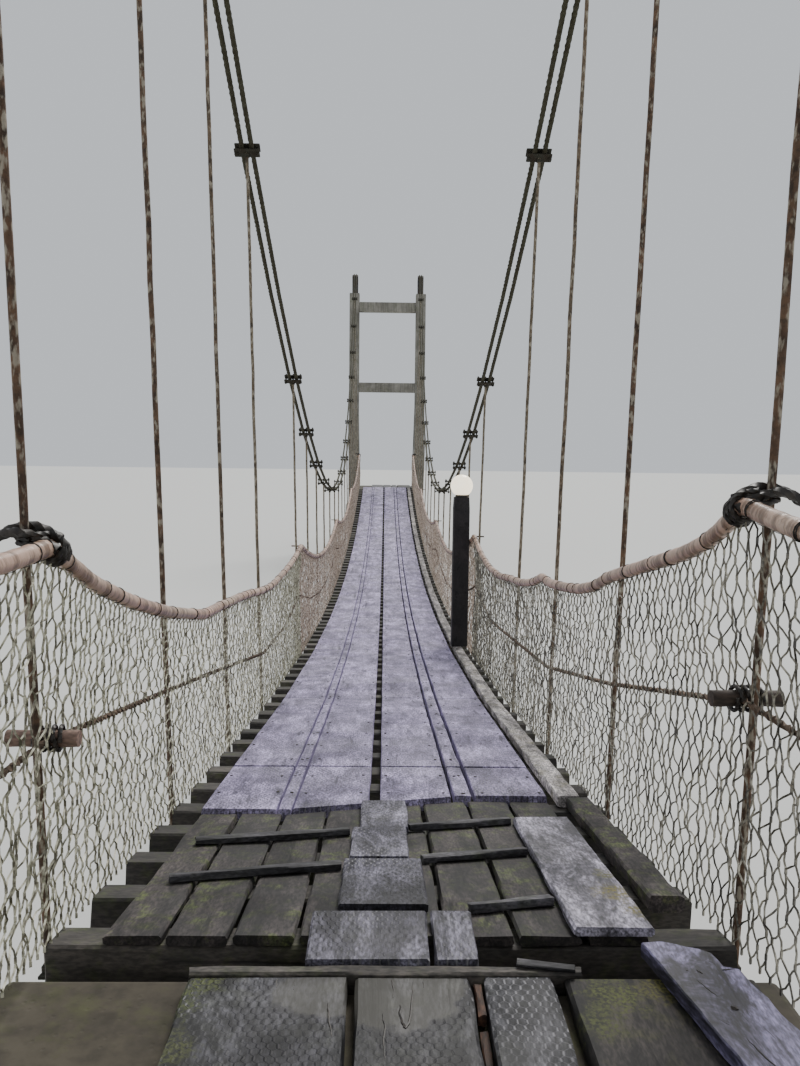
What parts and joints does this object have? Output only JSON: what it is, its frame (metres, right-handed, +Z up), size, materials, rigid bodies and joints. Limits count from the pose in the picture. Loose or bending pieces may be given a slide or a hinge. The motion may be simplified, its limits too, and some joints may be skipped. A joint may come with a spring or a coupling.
{
  "type": "rope suspension footbridge",
  "caption": "Slender suspension footbridge: twin wire ropes and rod hangers carry a sagging timber deck between net sides, with portal towers and anchor blocks.",
  "frame": {"origin": "on the floor under mid-span, at the centre of the base of the bounding box", "axes": "+Y along the bridge from the near end, seen in the picture, to the far end; +X to the right; +Z up"},
  "size_m": [2.9678, 38.9608, 8.2801],
  "materials": {
    "wire_rope": "weathered greenish brown wire rope, clamps and mottled hanger rods",
    "deck_timber": "wet dark grey boards and sleepers with moss at the edges",
    "net_twine": "cream to grey knotted twine",
    "rail_sleeve": "beige plastic sleeve over the hand rope",
    "rusty_rope": "rusty twisted wire rope",
    "concrete": "plain weathered concrete",
    "cast_steel": "dark painted casting",
    "black_timber": "near black stained timber",
    "opal_glass": "smooth opal globe, softly lit"
  },
  "bodies": {
    "root": {"left_inner_main_rope": "wire_rope", "left_outer_main_rope": "wire_rope", "right_inner_main_rope": "wire_rope", "right_outer_main_rope": "wire_rope", "deck_section_00_01": "deck_timber", "deck_section_01_03": "deck_timber", "deck_section_03_05": "deck_timber", "deck_section_05_07": "deck_timber", "deck_section_07_09": "deck_timber", "deck_section_09_11": "deck_timber", "deck_section_11_13": "deck_timber", "deck_section_13_15": "deck_timber", "deck_section_15_17": "deck_timber", "deck_section_17_19": "deck_timber", "deck_section_19_20": "deck_timber", "near_landing_boards": "deck_timber", "far_landing_boards": "deck_timber", "loose_board": "deck_timber", "left_net_1": "net_twine", "left_net_2": "net_twine", "left_net_3": "net_twine", "left_net_4": "net_twine", "right_net_1": "net_twine", "right_net_2": "net_twine", "right_net_3": "net_twine", "right_net_4": "net_twine", "left_rail": "rail_sleeve", "right_rail": "rail_sleeve", "left_middle_rope": "rusty_rope", "right_middle_rope": "rusty_rope", "near_tower_left_leg": "concrete", "near_tower_right_leg": "concrete", "near_tower_lower_beam": "concrete", "near_tower_upper_beam": "concrete", "far_tower_left_leg": "concrete", "far_tower_right_leg": "concrete", "far_tower_lower_beam": "concrete", "far_tower_upper_beam": "concrete", "near_abutment": "concrete", "far_abutment": "concrete", "near_left_anchor_block": "concrete", "near_right_anchor_block": "concrete", "far_left_anchor_block": "concrete", "far_right_anchor_block": "concrete", "near_left_saddle": "cast_steel", "near_right_saddle": "cast_steel", "far_left_saddle": "cast_steel", "far_right_saddle": "cast_steel", "lamp_collar": "cast_steel", "lamp_post": "black_timber", "lamp_globe": "opal_glass"}
  },
  "joints": []
}
